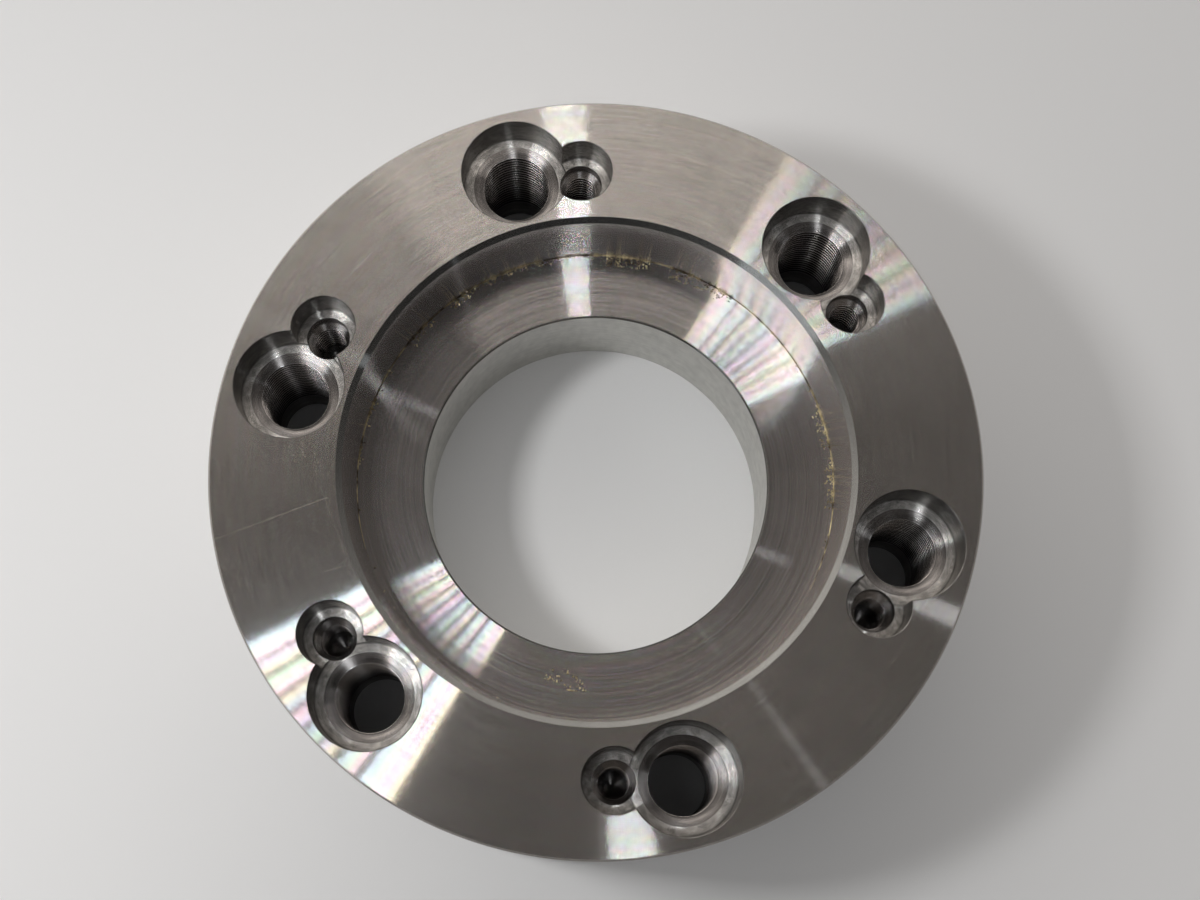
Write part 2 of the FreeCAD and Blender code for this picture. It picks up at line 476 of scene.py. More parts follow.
def baked_by_tree(name, tree, inputs):
    """Plain mesh object that a geometry tree makes from its inputs."""
    seed = linked(name, bpy.data.meshes.new(name))
    modifier = seed.modifiers.new(tree.name, "NODES")
    modifier.node_group = tree
    sockets = [item for item in tree.interface.items_tree if item.in_out == "INPUT"]
    identifiers = {socket.name: socket.identifier for socket in sockets}
    for key, value in inputs.items():
        modifier[identifiers[key]] = value
    bpy.context.view_layer.update()
    evaluated = seed.evaluated_get(bpy.context.evaluated_depsgraph_get())
    mesh = bpy.data.meshes.new_from_object(evaluated)
    seed.modifiers.remove(modifier)
    seed.data = mesh
    mesh.name = name
    return seed


# Finishes

SPECTRUM_LEAN = 0.085             # lean in which the split light runs once through its colours
SPECTRUM_TURNS = 4.0              # how often it does so over the range of the noise
SPECTRUM_SPACING = 3.5 * MM       # of the bands that its colours change in, across the grooves
SPECTRUM_ARC = 0.8                # and along them, in radians
LINE_CORE = 0.4                   # share of a scratch's width that is fully bright
FACE_SCRATCHES = (                # start and end on the face in mm, then the scratch's width in mm
    ((-71.8, -35.4), (-52.0, -21.1), 0.16),
    ((-54.7, -18.4), (-45.2, -31.6), 0.07),
    ((-48.3, -36.1), (-43.3, -33.3), 0.10),
)
SCRATCH_BREAKS = 0.7 / MM         # how often a scratch fades and comes back along its length
SCRATCH_TONES = (0.2, 0.5)        # how much lighter it is where it is faint and where it is clear
SPECKLED_PLACES = (               # start and end of a speckled place on the face in mm, then its reach in mm
    ((-61.0, -13.4), (-54.5, -15.5), 3.4),
    ((-60.5, -26.0), (-58.0, -27.0), 2.0),
    ((-70.0, -38.0), (-64.0, -43.0), 3.0),
)
SPECKS = 1.1 / MM
SPECK_TONE = 0.4
CLOUDS = 0.11 / MM                # soft patches on all steel, some 9 mm across
CLOUD_TONE = 0.06
GRAIN = 0.9 / MM                  # marks of a coarse cutter, drawn 1 mm wide so that they show
FLAT_SPREAD = 0.38                # widest lean of the grooves on faced steel

SEAT_LIGHT_TONE = 1.55                  # of a counterbore's seat, painted lighter as lit
WALL_SHADE_TONE = 0.62                  # and of its wall, painted darker as shaded
SEAT_EDGE = (0.5 * MM, 0.1 * MM)  # how far inside the wall the one turns into the other

CREST_HIGHLIGHT_TONE = 2.4                  # of a thread's crests, a painted highlight
ROOT_SHADE_TONE = 0.02                  # and of its roots, a painted shade
CREST_MARGIN = 0.01 * MM
CREST_HIGHLIGHT_SHARE = 0.14                # share of the thread's depth that carries the painted highlight
SINK_TONE = 0.85                  # of the shallow sink round the thread
SINK_EDGE = 0.15 * MM
LEAD_IN_TONE = 0.7                # of the first turn, which the painted root shade spares
LEAD_IN = (1.0 * MM, 0.2 * MM)    # depths below the sink between which that tone fades
DEPTH_SHADE_TONE = 0.15                  # painted shade of a tapped hole at its deepest
DEPTH_SHADE_HEIGHT = 0.3                 # height at which it is so dark, as a share of the plate's thickness

BORE_RINGS = (0.6 * MM, 0.12)     # their spacing, and their length in radians
BORE_RING_TONE = 0.08
BORE_MOTTLES = (0.5 / MM, 0.5 / MM, 0.26 / MM)
BORE_MOTTLE_TONE = 0.09
OIL_PATCHES = 0.42 / MM


def new_material(name):
    """An empty node material, its tree and its Principled shader."""
    material = bpy.data.materials.new(name)
    material.use_nodes = True
    tree = material.node_tree
    return material, tree, tree.nodes["Principled BSDF"]


def vector(tree, operation, *values, out=0):
    """Result of one vector math node on sockets or vectors."""
    return add(tree, "ShaderNodeVectorMath", dict(enumerate(values)), operation=operation).outputs[out]


def from_plate_axis(tree, spot):
    """Vector from the plate's axis to a place."""
    return vector(tree, "MULTIPLY", spot, (1, 1, 0))


def from_hole_axis(tree, spot, circle_radius, turn):
    """Vector from the axis of the nearest hole of a circle of holes to a place."""
    parts = add(tree, "ShaderNodeSeparateXYZ", {0: spot}).outputs
    step = math.tau / STUD_COUNT
    angle = maths(tree, "ADD", maths(tree, "ARCTAN2", parts[1], parts[0]), turn)
    nearest = maths(tree, "MULTIPLY", maths(tree, "ROUND", maths(tree, "DIVIDE", angle, step)), step)
    hole_angle = maths(tree, "SUBTRACT", nearest, turn)
    axis = add(tree, "ShaderNodeCombineXYZ",
               {0: maths(tree, "COSINE", hole_angle), 1: maths(tree, "SINE", hole_angle)}).outputs[0]
    return from_plate_axis(tree, vector(tree, "SUBTRACT", spot, scaled(tree, axis, circle_radius)))


def chances(tree, place):
    """Three independent random numbers at every place, each time a ray meets it."""
    noise = add(tree, "ShaderNodeTexWhiteNoise", {"Vector": place}, noise_dimensions="3D").outputs["Color"]
    return add(tree, "ShaderNodeSeparateColor", {0: noise}).outputs


def ring_place(tree, outwards, spot, spacing, arc):
    """Pattern coordinates that run in rings: spacing across the grooves and an angle along them."""
    height = add(tree, "ShaderNodeSeparateXYZ", {0: spot}).outputs[2]
    flat = add(tree, "ShaderNodeSeparateXYZ", {0: outwards}).outputs
    radius = vector(tree, "LENGTH", outwards, out=1)
    angle = maths(tree, "ARCTAN2", flat[1], flat[0])
    return add(tree, "ShaderNodeCombineXYZ",
               {0: maths(tree, "DIVIDE", radius, spacing), 1: maths(tree, "DIVIDE", height, spacing),
                2: maths(tree, "DIVIDE", angle, arc)}).outputs[0]


def ranged(tree, value, low, high, at_low, at_high):
    """Value carried from one range to another and held at its ends."""
    return add(tree, "ShaderNodeMapRange", {"Value": value, "From Min": low, "From Max": high,
                                            "To Min": at_low, "To Max": at_high}).outputs[0]


def toned(tree, noise_place, strength, detail=2.0):
    """Factor round 1 from a noise: how much lighter or darker the steel is there."""
    noise = add(tree, "ShaderNodeTexNoise",
                {"Vector": noise_place, "Scale": 1.0, "Detail": detail}).outputs[0]
    return ranged(tree, noise, 0.25, 0.75, 1 - strength, 1 + strength)


def scaled(tree, value, factor):
    """A colour or vector times a number."""
    return add(tree, "ShaderNodeVectorMath", {0: value, "Scale": factor}, operation="SCALE").outputs[0]


def split_light(tree, lean, noise_place, strength):
    """Colour factor round 1: fine grooves split the light, by their lean and from band to band."""
    noise = add(tree, "ShaderNodeTexNoise", {"Vector": noise_place, "Scale": 1.0, "Detail": 1.0}).outputs[0]
    by_lean = maths(tree, "DIVIDE", lean, SPECTRUM_LEAN)
    turn = maths(tree, "MULTIPLY", maths(tree, "MULTIPLY_ADD", noise, SPECTRUM_TURNS, by_lean), math.tau)
    shares = [maths(tree, "SINE", maths(tree, "ADD", turn, math.tau * part / 3)) for part in range(3)]
    spectrum = add(tree, "ShaderNodeCombineXYZ", dict(enumerate(shares))).outputs[0]
    return vector(tree, "MULTIPLY_ADD", spectrum, (strength,) * 3, (1.0, 1.0, 1.0))


def near_line(tree, spot, start, end, width):
    """1 on a straight scratch between two places of the face, in mm, and 0 beside it."""
    start, end = (Vector((*place, THICKNESS / MM)) * MM for place in (start, end))
    along = end - start
    from_start = vector(tree, "SUBTRACT", spot, start)
    reach = vector(tree, "DOT_PRODUCT", from_start, along, out=1)
    share = maths(tree, "DIVIDE", reach, along.length_squared)
    held = add(tree, "ShaderNodeClamp", {"Value": share}).outputs[0]
    aside = vector(tree, "LENGTH", vector(tree, "SUBTRACT", from_start, scaled(tree, along, held)), out=1)
    return ranged(tree, aside, width * MM * LINE_CORE, width * MM, 1.0, 0.0)


def worn_places(tree, spot):
    """How much lighter the face is where it is scratched or speckled, on its left side."""
    def near_any(lines):
        nearest = 0.0
        for start, end, width in lines:
            nearest = maths(tree, "MAXIMUM", nearest, near_line(tree, spot, start, end, width))
        return nearest

    breaks = add(tree, "ShaderNodeTexNoise",
                 {"Vector": spot, "Scale": SCRATCH_BREAKS, "Detail": 2.0}).outputs[0]
    clear = ranged(tree, breaks, 0.35, 0.6, *SCRATCH_TONES)
    scratched = maths(tree, "MULTIPLY", near_any(FACE_SCRATCHES), clear)
    dots = add(tree, "ShaderNodeTexVoronoi", {"Vector": spot, "Scale": SPECKS}).outputs["Distance"]
    dotted = ranged(tree, dots, 0.15, 0.3, SPECK_TONE, 0.0)
    specks = maths(tree, "MULTIPLY", near_any(SPECKLED_PLACES), dotted)
    return maths(tree, "ADD", scratched, specks)


def turned_steel(name, base, spread, rings, outwards=from_plate_axis, play=0.0, haze=0.1, hazy_blend=0.5,
                 blend=0.10, spacing=0.45 * MM, arc=0.2, grain=0.0, shade=None, wear=None):
    """Steel cut in fine circles, given by the spread of the grooves' lean and how strongly rings show."""
    material, tree, shader = new_material(name)
    place = add(tree, "ShaderNodeTexCoord").outputs["Object"]
    out = outwards(tree, place)
    chance = chances(tree, place)
    normal = add(tree, "ShaderNodeNewGeometry").outputs["Normal"]
    along = vector(tree, "NORMALIZE", vector(tree, "CROSS_PRODUCT", (0, 0, 1), out))
    across = vector(tree, "CROSS_PRODUCT", along, normal)
    lean = maths(tree, "MULTIPLY_ADD", chance[0], 2 * spread, -spread)
    hazy = maths(tree, "LESS_THAN", chance[1], haze)
    groove_lean = maths(tree, "MULTIPLY", lean, maths(tree, "SUBTRACT", 1.0, hazy))
    leaning = vector(tree, "NORMALIZE", vector(tree, "ADD", normal, scaled(tree, across, groove_lean)))
    tree.links.new(leaning, shader.inputs["Normal"])
    tree.links.new(across, shader.inputs["Tangent"])
    tree.links.new(ranged(tree, hazy, 0.0, 1.0, blend, hazy_blend), shader.inputs["Roughness"])
    tree.links.new(maths(tree, "SUBTRACT", 1.0, hazy), shader.inputs["Anisotropic"])
    shader.inputs["Metallic"].default_value = 1.0

    ring_tone = toned(tree, ring_place(tree, out, place, spacing, arc), rings)
    cloud_tone = toned(tree, scaled(tree, place, CLOUDS), CLOUD_TONE)
    tone = maths(tree, "MULTIPLY", ring_tone, cloud_tone)
    if grain:
        tone = maths(tree, "MULTIPLY", tone, toned(tree, scaled(tree, place, GRAIN), grain))
    if shade:
        tone = maths(tree, "MULTIPLY", tone, shade(tree, place, out))
    if wear:
        tone = maths(tree, "ADD", wear(tree, place), tone)
    steel = scaled(tree, base[:3], tone)
    if play:
        bands = ring_place(tree, out, place, SPECTRUM_SPACING, SPECTRUM_ARC)
        steel = vector(tree, "MULTIPLY", steel, split_light(tree, lean, bands, play))
    tree.links.new(steel, shader.inputs["Base Color"])
    return material


def seat_light_and_wall_shade(tree, out, mouth):
    """Tone of a counterbore: its seat painted lighter as lit, its wall painted darker as shaded."""
    radius = vector(tree, "LENGTH", out, out=1)
    # Painted light on the seat, painted shade on the wall
    return ranged(tree, radius, mouth - SEAT_EDGE[0], mouth - SEAT_EDGE[1], SEAT_LIGHT_TONE, WALL_SHADE_TONE)


def thread_highlight_and_shade(tree, place, out, crest, root, top):
    """Tone of a tapped hole: painted highlights on the crests, a lighter lead-in, and painted shade in the
    black roots and deeper down the hole.
    """
    radius = vector(tree, "LENGTH", out, out=1)
    height = add(tree, "ShaderNodeSeparateXYZ", {0: place}).outputs[2]
    bright_to = crest + CREST_HIGHLIGHT_SHARE * (root - crest)
    # Painted highlight on the crests, falling to painted shade in the roots
    flank = ranged(tree, radius, crest + CREST_MARGIN, bright_to, CREST_HIGHLIGHT_TONE, ROOT_SHADE_TONE)
    sink = ranged(tree, radius, root, root + SINK_EDGE, 0.0, SINK_TONE)
    lead_in = ranged(tree, height, top - LEAD_IN[0], top - LEAD_IN[1], 0.0, LEAD_IN_TONE)
    # Painted shade that deepens down the hole
    depth = ranged(tree, height, DEPTH_SHADE_HEIGHT * THICKNESS, top, DEPTH_SHADE_TONE, 1.0)
    lit = maths(tree, "MAXIMUM", maths(tree, "MAXIMUM", flank, sink), lead_in)
    return maths(tree, "MULTIPLY", lit, depth)


def bored_steel(name, base):
    """Steel bored with a blunt tool and left as it was."""
    material, tree, shader = new_material(name)
    place = add(tree, "ShaderNodeTexCoord").outputs["Object"]
    rings = toned(tree, ring_place(tree, from_plate_axis(tree, place), place, *BORE_RINGS), BORE_RING_TONE)
    mottles = toned(tree, vector(tree, "MULTIPLY", place, BORE_MOTTLES), BORE_MOTTLE_TONE, detail=3.0)
    steel = scaled(tree, base[:3], maths(tree, "MULTIPLY", rings, mottles))
    tree.links.new(steel, shader.inputs["Base Color"])
    shader.inputs["Metallic"].default_value = 1.0
    shader.inputs["Roughness"].default_value = 0.5
    return material


def dried_oil(name, light, dark):
    """Cutting oil that dried on the steel."""
    material, tree, shader = new_material(name)
    place = add(tree, "ShaderNodeTexCoord").outputs["Object"]
    noise = add(tree, "ShaderNodeTexNoise", {"Vector": place, "Scale": OIL_PATCHES, "Detail": 3.0}).outputs[0]
    share = ranged(tree, noise, 0.38, 0.62, 0.0, 1.0)
    mixed = add(tree, "ShaderNodeMix", {0: share, 6: dark, 7: light}, data_type="RGBA").outputs[2]
    tree.links.new(mixed, shader.inputs["Base Color"])
    shader.inputs["Metallic"].default_value = 0.55
    shader.inputs["Roughness"].default_value = 0.3
    return material


def all_finishes(colours, sizes):
    """Every finish of the plate, by the surface that has it."""
    steel = colours.turned_steel

    def round_stud(tree, spot):
        return from_hole_axis(tree, spot, STUD_CIRCLE_RADIUS, 0.0)

    def round_lock(tree, spot):
        return from_hole_axis(tree, spot, LOCK_CIRCLE_RADIUS, sizes.lock_turn)

    def stud_seat(tree, spot, out):
        return seat_light_and_wall_shade(tree, out, STUD_MOUTH_RADIUS)

    def lock_seat(tree, spot, out):
        return seat_light_and_wall_shade(tree, out, sizes.lock_mouth_radius)

    def stud_painted_thread_light(tree, spot, out):
        return thread_highlight_and_shade(tree, spot, out, STUD_CREST_RADIUS, sizes.stud_root_radius,
                            THICKNESS - sizes.stud_seat_depth - sizes.stud_sink_depth)

    def lock_painted_thread_light(tree, spot, out):
        return thread_highlight_and_shade(tree, spot, out, sizes.lock_crest_radius, sizes.lock_root_radius,
                            lock_shoulder_end(sizes))

    milled = {"spread": 0.3, "rings": 0.35, "haze": 0.4, "blend": 0.2, "spacing": 0.9 * MM, "grain": 0.2}
    tapped = {"spread": 0.08, "rings": 0.45, "haze": 0.05, "blend": 0.26, "spacing": 1.3 * MM, "arc": 0.9}
    made = {}
    # Finely faced steel: sharp radial streaks with faint split colours, and a few straight scratches
    made["turned_face"] = turned_steel("faced_mild_steel", steel, FLAT_SPREAD, rings=0.11, play=0.2,
                                       haze=0.05, wear=worn_places)
    # Turned rim: upright streaks, a little duller than the face
    made["rim"] = turned_steel("turned_rim_mild_steel", steel, FLAT_SPREAD, rings=0.07, blend=0.12)
    # Faced back: as the face, unscratched
    made["back_face"] = turned_steel("faced_back_mild_steel", steel, FLAT_SPREAD, rings=0.06, play=0.2,
                                     haze=0.08)
    # Coarser facing at the bottom of the recess: its rings show as dark and light lines
    made["recess_floor"] = turned_steel("recessed_mild_steel", colours.recess_steel, FLAT_SPREAD, rings=0.2,
                                        play=0.26, haze=0.22, hazy_blend=0.27, spacing=0.28 * MM, arc=1.4)
    # Smooth taper: it mirrors the recess floor in soft bands
    made["taper_wall"] = turned_steel("taper_turned_mild_steel", colours.taper_steel, spread=0.15,
                                      rings=0.05, haze=0.02)
    # Chamfer: a narrow, duller ring
    made["mouth_chamfer"] = turned_steel("chamfered_mild_steel", colours.chamfer_steel, spread=0.12,
                                         rings=0.08, haze=0.25)
    made["bore_edge"] = made["mouth_chamfer"]
    # Bored wall: matte, mottled grey with faint rings
    made["bore_wall"] = bored_steel("bored_mild_steel", colours.bored_steel)
    # Counterbores: coarse cutter rings on the seats and bands on the walls, with painted light on the seats
    # and painted shade on the walls
    made["stud_counterbore"] = turned_steel("counterbored_mild_steel", colours.milled_steel,
                                            outwards=round_stud, shade=stud_seat, **milled)
    made["lock_counterbore"] = turned_steel("small_counterbored_mild_steel", colours.milled_steel,
                                            outwards=round_lock, shade=lock_seat, **milled)
    # Tapped holes: painted highlights on the crests over nearly black roots in painted shade
    made["stud_thread"] = turned_steel("tapped_mild_steel", colours.tapped_steel,
                                       outwards=round_stud, shade=stud_painted_thread_light, **tapped)
    made["lock_thread"] = turned_steel("small_tapped_mild_steel", colours.tapped_steel,
                                       outwards=round_lock, shade=lock_painted_thread_light, **tapped)
    return made


# Dried oil in the corner of the recess

BEAD_WIDTH = 0.2 * MM
BEAD_RISE = 0.12 * MM
BEDDING = 0.03 * MM               # how far dried oil reaches into the steel, so that nothing floats

FLAKE_SIZE = (0.42 * MM, 0.22 * MM, 0.14 * MM)
FLAKE_TILT = 0.9
BURR_SIZE = (0.12 * MM, 0.12 * MM, 1.5 * MM)
FLAKE_PATCHES = (                 # from and to angle in degrees, depth of the patch in mm, count
    (68.0, 86.0, 2.6, 130),
    (91.0, 102.0, 2.4, 150),
    (102.0, 118.0, 1.0, 40),
    (116.0, 134.0, 1.3, 110),
    (135.0, 144.0, 1.6, 80),
    (149.0, 158.0, 2.0, 50),
    (166.0, 190.0, 1.0, 70),
    (23.0, 34.0, 2.0, 80),
    (8.0, 19.0, 1.9, 80),
    (-6.0, 66.0, 0.8, 60),
    (190.0, 300.0, 0.8, 50),
)
BURR_PATCHES = (                  # from and to angle in degrees, count
    (62.0, 90.0, 9),
    (90.0, 116.0, 9),
    (116.0, 142.0, 20),
    (142.0, 170.0, 7),
    (170.0, 192.0, 8),
    (8.0, 36.0, 8),
    (-12.0, 8.0, 5),
)
FLOOR_PATCHES = (                 # from and to angle, inner and outer radius in mm, count
    (-84.0, -78.0, 41.0, 45.5, 34),
    (-90.0, -85.0, 41.5, 44.0, 18),
)
THINNING = 3.0                    # how fast the flakes thin out from the outer edge of their patch inwards
FLAKE_SCALES = (0.35, 1.25)       # smallest and largest, as shares of the flake size
SECOND_SEED = 50                  # apart from the first, for a second row of random numbers


def flake_tree():
    """Geometry tree that scatters small flat flakes over part of a ring, closest along its outer edge."""
    tree = bpy.data.node_groups.new("Flake patch", "GeometryNodeTree")
    for name in ("Count", "Seed"):
        tree_input(tree, name, "NodeSocketInt", 1)
    for name in ("From angle", "To angle", "Inner radius", "Outer radius", "Height", "Turn", "Tilt"):
        tree_input(tree, name, "NodeSocketFloat", 0.0)
    tree_input(tree, "Flake size", "NodeSocketVector")
    tree_input(tree, "Material", "NodeSocketMaterial")
    tree.interface.new_socket(name="Flakes", in_out="OUTPUT", socket_type="NodeSocketGeometry")
    given = add(tree, "NodeGroupInput").outputs

    def random_numbers(offset):
        seed = maths(tree, "ADD", given["Seed"], offset)
        noise = add(tree, "FunctionNodeRandomValue", {0: (0, 0, 0), 1: (1, 1, 1), "Seed": seed},
                    data_type="FLOAT_VECTOR").outputs[0]
        return add(tree, "ShaderNodeSeparateXYZ", {0: noise}).outputs

    first, second = random_numbers(0), random_numbers(SECOND_SEED)
    sweep = maths(tree, "SUBTRACT", given["To angle"], given["From angle"])
    angle = maths(tree, "MULTIPLY_ADD", first[0], sweep, given["From angle"])
    inset = maths(tree, "MULTIPLY", maths(tree, "POWER", first[1], THINNING),
                  maths(tree, "SUBTRACT", given["Outer radius"], given["Inner radius"]))
    radius = maths(tree, "SUBTRACT", given["Outer radius"], inset)
    place = add(tree, "ShaderNodeCombineXYZ",
                {0: maths(tree, "MULTIPLY", radius, maths(tree, "COSINE", angle)),
                 1: maths(tree, "MULTIPLY", radius, maths(tree, "SINE", angle)),
                 2: given["Height"]}).outputs[0]
    points = add(tree, "GeometryNodePoints", {"Count": given["Count"], "Position": place}).outputs[0]
    flake = add(tree, "GeometryNodeMeshCube", {"Size": given["Flake size"]}).outputs[0]
    spin = maths(tree, "MULTIPLY_ADD", second[0], given["Turn"], angle)
    smallest, largest = FLAKE_SCALES
    scale = maths(tree, "MULTIPLY_ADD", second[1], largest - smallest, smallest)
    stretch = add(tree, "ShaderNodeCombineXYZ", {0: scale, 1: scale, 2: 1.0}).outputs[0]
    half_tilt = maths(tree, "MULTIPLY", given["Tilt"], 0.5)
    tilt = maths(tree, "SUBTRACT", maths(tree, "MULTIPLY", second[2], given["Tilt"]), half_tilt)
    turn = add(tree, "ShaderNodeCombineXYZ", {0: tilt, 1: tilt, 2: spin}).outputs[0]
    scattered = add(tree, "GeometryNodeInstanceOnPoints",
                    {"Points": points, "Instance": flake, "Rotation": turn, "Scale": stretch}).outputs[0]
    whole = add(tree, "GeometryNodeRealizeInstances", {"Geometry": scattered}).outputs[0]
    coated = add(tree, "GeometryNodeSetMaterial",
                 {"Geometry": whole, "Material": given["Material"]}).outputs[0]
    add(tree, "NodeGroupOutput", {"Flakes": coated})
    return tree


def bead_tree(sizes):
    """Geometry tree of the thin bead of dried oil that fills the corner of the recess."""
    tree = bpy.data.node_groups.new("Oil bead", "GeometryNodeTree")
    tree_input(tree, "Bead section", "NodeSocketObject")
    tree_input(tree, "Material", "NodeSocketMaterial")
    tree.interface.new_socket(name="Bead", in_out="OUTPUT", socket_type="NodeSocketGeometry")
    given = add(tree, "NodeGroupInput").outputs
    section = add(tree, "GeometryNodeObjectInfo", {"Object": given["Bead section"]}).outputs["Geometry"]
    group = tree.nodes.new("GeometryNodeGroup")
    group.node_tree = turned_form_tree()
    group.inputs["Segments"].default_value = sizes.plate_segments
    tree.links.new(section, group.inputs["Section"])
    whole = add(tree, "GeometryNodeRealizeInstances", {"Geometry": group.outputs["Form"]}).outputs[0]
    coated = add(tree, "GeometryNodeSetMaterial",
                 {"Geometry": whole, "Material": given["Material"]}).outputs[0]
    add(tree, "NodeGroupOutput", {"Bead": coated})
    return tree


# Operators

class BACKPLATE_OT_plate(bpy.types.Operator):
    """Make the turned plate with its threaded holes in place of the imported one"""

    bl_idname = "backplate.plate"
    bl_label = "Turned plate"

    def execute(self, context):
        sizes = context.scene.backplate_sizes
        finishes = all_finishes(context.scene.backplate_colours, sizes)
        tree = backplate_tree(sizes, finishes)
        sections = {
            "Blank section": section_object("blank_section", blank_section(sizes)),
            "Stud section": section_object("stud_section", stud_section(sizes)),
            "Lock section": section_object("lock_section", lock_section(sizes)),
        }
        plate = baked_by_tree("backplate_turned", tree, {
            **sections,
            "Stud count": STUD_COUNT,
            "Stud circle radius": STUD_CIRCLE_RADIUS,
            "Lock circle radius": LOCK_CIRCLE_RADIUS,
            "Lock turn": -sizes.lock_turn,
            "Pitch": sizes.thread_pitch,
        })
        for section in sections.values():
            bpy.data.objects.remove(section)
        if not plate.data.polygons:
            raise RuntimeError("the plate came out empty")
        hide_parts(NODE)
        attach(plate, "root")
        return {"FINISHED"}


class BACKPLATE_OT_oil(bpy.types.Operator):
    """Make the dried oil: a bead in the corner of the recess, flakes beside it and burrs up the wall"""

    bl_idname = "backplate.oil"
    bl_label = "Dried oil"

    def execute(self, context):
        sizes, colours = context.scene.backplate_sizes, context.scene.backplate_colours
        # Golden brown, uneven and slightly glossy, as oil that has dried on
        oil = dried_oil("dried_cutting_oil", colours.oil_light, colours.oil_dark)
        corner = corner_radius(sizes)
        floor = THICKNESS - sizes.recess_depth
        outline = [(corner - BEAD_WIDTH, floor - BEDDING), (corner + BEDDING, floor - BEDDING),
                   (corner + BEDDING / 2, floor + BEAD_RISE), (corner - BEAD_WIDTH, floor - BEDDING)]
        section = section_object("bead_section", outline[::-1])
        bead = baked_by_tree("oil_bead", bead_tree(sizes), {"Bead section": section, "Material": oil})
        bpy.data.objects.remove(section)
        tree = flake_tree()
        pieces = [bead]

        def patch(name, angles, radii, height, count, size, turn, tilt):
            pieces.append(baked_by_tree(name, tree, {
                "Count": count, "Seed": len(pieces), "From angle": math.radians(angles[0]),
                "To angle": math.radians(angles[1]), "Inner radius": radii[0], "Outer radius": radii[1],
                "Height": height, "Turn": turn, "Tilt": tilt, "Flake size": size, "Material": oil}))

        on_floor = floor + FLAKE_SIZE[2] / 2 - BEDDING
        up_wall = floor + BURR_SIZE[2] / 2 - BEDDING
        for start, end, depth, count in FLAKE_PATCHES:
            radii = (corner - depth * MM, corner - BEAD_WIDTH / 2)
            patch("oil_flakes", (start, end), radii, on_floor, count, FLAKE_SIZE, math.tau, FLAKE_TILT)
        for start, end, inner, outer, count in FLOOR_PATCHES:
            radii = (inner * MM, outer * MM)
            patch("oil_flakes", (start, end), radii, on_floor, count, FLAKE_SIZE, math.tau, FLAKE_TILT)
        for start, end, count in BURR_PATCHES:
            radii = (corner - BURR_SIZE[0], corner)
            patch("oil_burrs", (start, end), radii, up_wall, count, BURR_SIZE, 0.0, 0.0)
        for number, piece in enumerate(pieces):
            if not piece.data.polygons:
                raise RuntimeError("a piece of dried oil came out empty")
            piece.name = "%s_%d" % (piece.name.split(".")[0], number)
            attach(piece, "root")
        return {"FINISHED"}


class BACKPLATE_OT_stage(bpy.types.Operator):
    """Make the floor, the light and the camera"""

    bl_idname = "backplate.stage"
    bl_label = "Stage"

    def execute(self, context):
        make_floor(context.scene.backplate_colours)
        make_lights()
        make_camera()
        return {"FINISHED"}


class BACKPLATE_PT_panel(bpy.types.Panel):
    """Panel that lists the pieces and the stage"""

    bl_idname = "BACKPLATE_PT_panel"
    bl_label = "Backplate"
    bl_space_type = "VIEW_3D"
    bl_region_type = "UI"
    bl_category = "Backplate"

    def draw(self, context):
        for operator in OPERATORS:
            self.layout.operator(operator.bl_idname)
        for group in (context.scene.backplate_sizes, context.scene.backplate_colours):
            column = self.layout.column()
            for name in group.__annotations__:
                column.prop(group, name)


# Stage

FLOOR_SIZE = 3.0
FLOOR_GLOW = 0.2
CLOSED_SHARE = 0.07               # share of open sky above the floor up to which its glow is painted out as shadow
OPEN_SHARE = 0.45                 # and the share from which it glows fully
SHADE_REACH = 0.15

RAY_LAMPS = (                     # the streak's bearing and width, nearest and farthest lean, strength
    (-108.7, 5.7, 12.0, 38.0, 1.4),
    (-114.0, 2.9, 12.0, 38.0, 1.25),
    (-117.7, 2.1, 12.0, 38.0, 1.2),
    (-120.6, 2.2, 12.0, 38.0, 1.1),
    (-123.6, 2.0, 12.0, 38.0, 1.2),
    (-126.4, 2.0, 12.0, 38.0, 1.2),
    (-129.5, 2.6, 12.0, 38.0, 1.3),
    (-132.5, 1.9, 12.0, 38.0, 1.35),
    (-135.4, 2.8, 12.0, 38.0, 1.4),
)
RAY_WIDTH = 1.1                   # degrees, of the tinted rays that the streaks are made of
RAY_TINTS = ("#D0E7FF", "#DAFFE8", "#FFDEEF", "#E6DFFF", "#FFF8DC")
SOFT_LAMPS = (
    (-122.4, 66.0, 12.0, 38.0, 0.03),
    (-122.4, 30.0, 45.0, 68.0, 0.2),
    (-9.6, 3.2, 40.0, 52.0, 0.34),
    (-9.6, 3.4, 22.0, 32.0, 0.3),
    (-41.0, 1.6, 40.0, 48.0, 0.12),
    (-41.0, 2.0, 22.0, 30.0, 0.12),
)
FRONT_BEARING = -70.3
FRONT_LAMP = (FRONT_BEARING, 12.5, 13.0, 15.0, 8.5)
LAMP_DISTANCE = 1.6
LAMP_RADIANCE = 8.0
LAMP_COLOUR = "#F1F8FF"

GLOW_BEARING = math.radians(124.7)
GLOW_COLOUR = "#FFFAF5"
GLOW_STRENGTH = 2.1
GLOW_FOCUS = 3.3                  # how narrow the glow is sideways
GLOW_STEPS = (                    # two elevations in degrees, then the glow's share below and above them
    (0, 24, 0.3, 1.0),
    (35, 50, 1.0, 0.15),
    (60, 80, 1.0, 0.1),
)
SKY_COLOUR = (0.052, 0.050, 0.049)

FLAG_COLOUR = "#141416"
FLAG_HEIGHT = 150 * MM            # of the black card above the face
FLAG_NEAR = 24 * MM
FLAG_FAR = 100 * MM
FLAG_WIDTH = 60 * MM

SIDE_LAMP_PLACE = (-298 * MM, -85 * MM, 380 * MM)
SIDE_LAMP_SIZE = 80 * MM
SIDE_LAMP_POWER = 0.98

